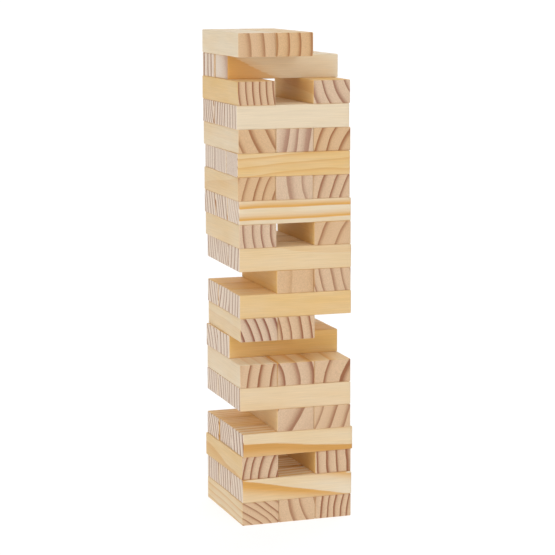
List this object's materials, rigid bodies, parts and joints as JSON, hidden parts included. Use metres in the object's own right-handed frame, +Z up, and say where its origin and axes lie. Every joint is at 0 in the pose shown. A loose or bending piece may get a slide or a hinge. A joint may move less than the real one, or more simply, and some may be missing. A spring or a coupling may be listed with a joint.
{
  "type": "giant tumbling tower",
  "caption": "Tall square tower of loose, plain pine blocks in crossed layers, part-way through a game, with slots open where blocks were drawn and laid on top.",
  "frame": {"origin": "on the ground, on the tower's nominal axis, under the middle block of the lowest layer", "axes": "+Z up the tower; -Y out of its front, where the blocks of the odd layers show their ends; +X to the right seen from the front"},
  "size_m": [0.1575, 0.154, 0.63],
  "materials": {
    "straw_pine": "planed and sanded, unfinished",
    "cream_pine": "planed and sanded, unfinished",
    "honey_pine": "planed and sanded, unfinished"
  },
  "bodies": {
    "layer01_left": {"layer01_left": "cream_pine"},
    "layer01_middle": {"layer01_middle": "straw_pine"},
    "layer01_right": {"layer01_right": "honey_pine"},
    "layer02_back": {"layer02_back": "cream_pine"},
    "layer02_front": {"layer02_front": "honey_pine"},
    "layer02_middle": {"layer02_middle": "straw_pine"},
    "layer03_left": {"layer03_left": "honey_pine"},
    "layer03_right": {"layer03_right": "straw_pine"},
    "layer04_back": {"layer04_back": "honey_pine"},
    "layer04_front": {"layer04_front": "straw_pine"},
    "layer04_middle": {"layer04_middle": "cream_pine"},
    "layer05_middle": {"layer05_middle": "straw_pine"},
    "layer05_right": {"layer05_right": "cream_pine"},
    "layer06_back": {"layer06_back": "honey_pine"},
    "layer06_front": {"layer06_front": "cream_pine"},
    "layer06_middle": {"layer06_middle": "cream_pine"},
    "layer07_left": {"layer07_left": "cream_pine"},
    "layer07_middle": {"layer07_middle": "straw_pine"},
    "layer07_right": {"layer07_right": "straw_pine"},
    "layer08_back": {"layer08_back": "honey_pine"},
    "layer08_middle": {"layer08_middle": "honey_pine"},
    "layer09_left": {"layer09_left": "cream_pine"},
    "layer09_middle": {"layer09_middle": "straw_pine"},
    "layer10_back": {"layer10_back": "cream_pine"},
    "layer10_front": {"layer10_front": "straw_pine"},
    "layer10_middle": {"layer10_middle": "honey_pine"},
    "layer11_middle": {"layer11_middle": "cream_pine"},
    "layer11_right": {"layer11_right": "honey_pine"},
    "layer12_back": {"layer12_back": "honey_pine"},
    "layer12_front": {"layer12_front": "cream_pine"},
    "layer12_middle": {"layer12_middle": "straw_pine"},
    "layer13_left": {"layer13_left": "cream_pine"},
    "layer13_right": {"layer13_right": "cream_pine"},
    "layer14_back": {"layer14_back": "straw_pine"},
    "layer14_front": {"layer14_front": "honey_pine"},
    "layer14_middle": {"layer14_middle": "straw_pine"},
    "layer15_left": {"layer15_left": "honey_pine"},
    "layer15_middle": {"layer15_middle": "cream_pine"},
    "layer15_right": {"layer15_right": "straw_pine"},
    "layer16_back": {"layer16_back": "straw_pine"},
    "layer16_front": {"layer16_front": "honey_pine"},
    "layer16_middle": {"layer16_middle": "straw_pine"},
    "layer17_left": {"layer17_left": "cream_pine"},
    "layer17_middle": {"layer17_middle": "cream_pine"},
    "layer17_right": {"layer17_right": "straw_pine"},
    "layer18_back": {"layer18_back": "straw_pine"},
    "layer18_front": {"layer18_front": "cream_pine"},
    "layer18_middle": {"layer18_middle": "cream_pine"},
    "layer19_left": {"layer19_left": "honey_pine"},
    "layer19_right": {"layer19_right": "straw_pine"},
    "layer20_back": {"layer20_back": "cream_pine"},
    "layer20_middle": {"layer20_middle": "honey_pine"},
    "layer21_left": {"layer21_left": "cream_pine"},
    "layer21_middle": {"layer21_middle": "honey_pine"}
  },
  "joints": [
    {"name": "layer01_left_slide", "type": "slide", "parent": "layer01_middle", "child": "layer01_left", "axis": [-0.014, 0.9999, 0], "range_m": [-0.16, 0.16]},
    {"name": "layer01_right_slide", "type": "slide", "parent": "layer01_middle", "child": "layer01_right", "axis": [-0.014, 0.9999, 0], "range_m": [-0.16, 0.16]},
    {"name": "layer02_front_slide", "type": "slide", "parent": "layer01_middle", "child": "layer02_front", "axis": [0.9998, 0.0175, 0], "range_m": [-0.16, 0.16]},
    {"name": "layer02_middle_slide", "type": "slide", "parent": "layer01_middle", "child": "layer02_middle", "axis": [0.9998, 0.0175, 0], "range_m": [-0.16, 0.16]},
    {"name": "layer02_back_slide", "type": "slide", "parent": "layer01_middle", "child": "layer02_back", "axis": [0.9998, 0.0175, 0], "range_m": [-0.16, 0.16]},
    {"name": "layer03_left_slide", "type": "slide", "parent": "layer01_middle", "child": "layer03_left", "axis": [-0.0262, 0.9997, 0], "range_m": [-0.16, 0.16]},
    {"name": "layer03_right_slide", "type": "slide", "parent": "layer01_middle", "child": "layer03_right", "axis": [-0.0262, 0.9997, 0], "range_m": [-0.16, 0.16]},
    {"name": "layer04_front_slide", "type": "slide", "parent": "layer01_middle", "child": "layer04_front", "axis": [0.9998, 0.0175, 0], "range_m": [-0.16, 0.16]},
    {"name": "layer04_middle_slide", "type": "slide", "parent": "layer01_middle", "child": "layer04_middle", "axis": [0.9998, 0.0175, 0], "range_m": [-0.16, 0.16]},
    {"name": "layer04_back_slide", "type": "slide", "parent": "layer01_middle", "child": "layer04_back", "axis": [0.9998, 0.0175, 0], "range_m": [-0.16, 0.16]},
    {"name": "layer05_middle_slide", "type": "slide", "parent": "layer01_middle", "child": "layer05_middle", "axis": [0, 1, 0], "range_m": [-0.16, 0.16]},
    {"name": "layer05_right_slide", "type": "slide", "parent": "layer01_middle", "child": "layer05_right", "axis": [0, 1, 0], "range_m": [-0.16, 0.16]},
    {"name": "layer06_front_slide", "type": "slide", "parent": "layer01_middle", "child": "layer06_front", "axis": [1, -0.0087, 0], "range_m": [-0.16, 0.16]},
    {"name": "layer06_middle_slide", "type": "slide", "parent": "layer01_middle", "child": "layer06_middle", "axis": [1, -0.0087, 0], "range_m": [-0.16, 0.16]},
    {"name": "layer06_back_slide", "type": "slide", "parent": "layer01_middle", "child": "layer06_back", "axis": [1, -0.0087, 0], "range_m": [-0.16, 0.16]},
    {"name": "layer07_left_slide", "type": "slide", "parent": "layer01_middle", "child": "layer07_left", "axis": [0.0044, 1, 0], "range_m": [-0.16, 0.16]},
    {"name": "layer07_middle_slide", "type": "slide", "parent": "layer01_middle", "child": "layer07_middle", "axis": [0.0044, 1, 0], "range_m": [-0.16, 0.16]},
    {"name": "layer07_right_slide", "type": "slide", "parent": "layer01_middle", "child": "layer07_right", "axis": [0.0044, 1, 0], "range_m": [-0.16, 0.16]},
    {"name": "layer08_middle_slide", "type": "slide", "parent": "layer01_middle", "child": "layer08_middle", "axis": [0.9998, 0.0175, 0], "range_m": [-0.16, 0.16]},
    {"name": "layer08_back_slide", "type": "slide", "parent": "layer01_middle", "child": "layer08_back", "axis": [0.9998, 0.0175, 0], "range_m": [-0.16, 0.16]},
    {"name": "layer09_left_slide", "type": "slide", "parent": "layer01_middle", "child": "layer09_left", "axis": [0.0131, 0.9999, 0], "range_m": [-0.16, 0.16]},
    {"name": "layer09_middle_slide", "type": "slide", "parent": "layer01_middle", "child": "layer09_middle", "axis": [0.0131, 0.9999, 0], "range_m": [-0.16, 0.16]},
    {"name": "layer10_front_slide", "type": "slide", "parent": "layer01_middle", "child": "layer10_front", "axis": [0.9999, -0.0105, 0], "range_m": [-0.16, 0.16]},
    {"name": "layer10_middle_slide", "type": "slide", "parent": "layer01_middle", "child": "layer10_middle", "axis": [0.9999, -0.0105, 0], "range_m": [-0.16, 0.16]},
    {"name": "layer10_back_slide", "type": "slide", "parent": "layer01_middle", "child": "layer10_back", "axis": [0.9999, -0.0105, 0], "range_m": [-0.16, 0.16]},
    {"name": "layer11_middle_slide", "type": "slide", "parent": "layer01_middle", "child": "layer11_middle", "axis": [0, 1, 0], "range_m": [-0.16, 0.16]},
    {"name": "layer11_right_slide", "type": "slide", "parent": "layer01_middle", "child": "layer11_right", "axis": [0, 1, 0], "range_m": [-0.16, 0.16]},
    {"name": "layer12_front_slide", "type": "slide", "parent": "layer01_middle", "child": "layer12_front", "axis": [0.9999, -0.0131, 0], "range_m": [-0.16, 0.16]},
    {"name": "layer12_middle_slide", "type": "slide", "parent": "layer01_middle", "child": "layer12_middle", "axis": [0.9999, -0.0131, 0], "range_m": [-0.16, 0.16]},
    {"name": "layer12_back_slide", "type": "slide", "parent": "layer01_middle", "child": "layer12_back", "axis": [0.9999, -0.0131, 0], "range_m": [-0.16, 0.16]},
    {"name": "layer13_left_slide", "type": "slide", "parent": "layer01_middle", "child": "layer13_left", "axis": [0, 1, 0], "range_m": [-0.16, 0.16]},
    {"name": "layer13_right_slide", "type": "slide", "parent": "layer01_middle", "child": "layer13_right", "axis": [0, 1, 0], "range_m": [-0.16, 0.16]},
    {"name": "layer14_front_slide", "type": "slide", "parent": "layer01_middle", "child": "layer14_front", "axis": [1, 0.0017, 0], "range_m": [-0.16, 0.16]},
    {"name": "layer14_middle_slide", "type": "slide", "parent": "layer01_middle", "child": "layer14_middle", "axis": [1, 0.0017, 0], "range_m": [-0.16, 0.16]},
    {"name": "layer14_back_slide", "type": "slide", "parent": "layer01_middle", "child": "layer14_back", "axis": [1, 0.0017, 0], "range_m": [-0.16, 0.16]},
    {"name": "layer15_left_slide", "type": "slide", "parent": "layer01_middle", "child": "layer15_left", "axis": [0, 1, 0], "range_m": [-0.16, 0.16]},
    {"name": "layer15_middle_slide", "type": "slide", "parent": "layer01_middle", "child": "layer15_middle", "axis": [0, 1, 0], "range_m": [-0.16, 0.16]},
    {"name": "layer15_right_slide", "type": "slide", "parent": "layer01_middle", "child": "layer15_right", "axis": [0, 1, 0], "range_m": [-0.16, 0.16]},
    {"name": "layer16_front_slide", "type": "slide", "parent": "layer01_middle", "child": "layer16_front", "axis": [1, -0.0087, 0], "range_m": [-0.16, 0.16]},
    {"name": "layer16_middle_slide", "type": "slide", "parent": "layer01_middle", "child": "layer16_middle", "axis": [1, -0.0087, 0], "range_m": [-0.16, 0.16]},
    {"name": "layer16_back_slide", "type": "slide", "parent": "layer01_middle", "child": "layer16_back", "axis": [1, -0.0087, 0], "range_m": [-0.16, 0.16]},
    {"name": "layer17_left_slide", "type": "slide", "parent": "layer01_middle", "child": "layer17_left", "axis": [-0.0105, 0.9999, 0], "range_m": [-0.16, 0.16]},
    {"name": "layer17_middle_slide", "type": "slide", "parent": "layer01_middle", "child": "layer17_middle", "axis": [-0.0105, 0.9999, 0], "range_m": [-0.16, 0.16]},
    {"name": "layer17_right_slide", "type": "slide", "parent": "layer01_middle", "child": "layer17_right", "axis": [-0.0105, 0.9999, 0], "range_m": [-0.16, 0.16]},
    {"name": "layer18_front_slide", "type": "slide", "parent": "layer01_middle", "child": "layer18_front", "axis": [1, 0, 0], "range_m": [-0.16, 0.16]},
    {"name": "layer18_middle_slide", "type": "slide", "parent": "layer01_middle", "child": "layer18_middle", "axis": [1, 0, 0], "range_m": [-0.16, 0.16]},
    {"name": "layer18_back_slide", "type": "slide", "parent": "layer01_middle", "child": "layer18_back", "axis": [1, 0, 0], "range_m": [-0.16, 0.16]},
    {"name": "layer19_left_slide", "type": "slide", "parent": "layer01_middle", "child": "layer19_left", "axis": [-0.0157, 0.9999, 0], "range_m": [-0.16, 0.16]},
    {"name": "layer19_right_slide", "type": "slide", "parent": "layer01_middle", "child": "layer19_right", "axis": [-0.0157, 0.9999, 0], "range_m": [-0.16, 0.16]},
    {"name": "layer20_middle_slide", "type": "slide", "parent": "layer01_middle", "child": "layer20_middle", "axis": [0.9998, 0.0192, 0], "range_m": [-0.16, 0.16]},
    {"name": "layer20_back_slide", "type": "slide", "parent": "layer01_middle", "child": "layer20_back", "axis": [0.9998, 0.0192, 0], "range_m": [-0.16, 0.16]},
    {"name": "layer21_left_lift", "type": "slide", "parent": "layer01_middle", "child": "layer21_left", "axis": [0, 0, 1], "range_m": [0, 0.12]},
    {"name": "layer21_middle_lift", "type": "slide", "parent": "layer01_middle", "child": "layer21_middle", "axis": [0, 0, 1], "range_m": [0, 0.12]}
  ]
}
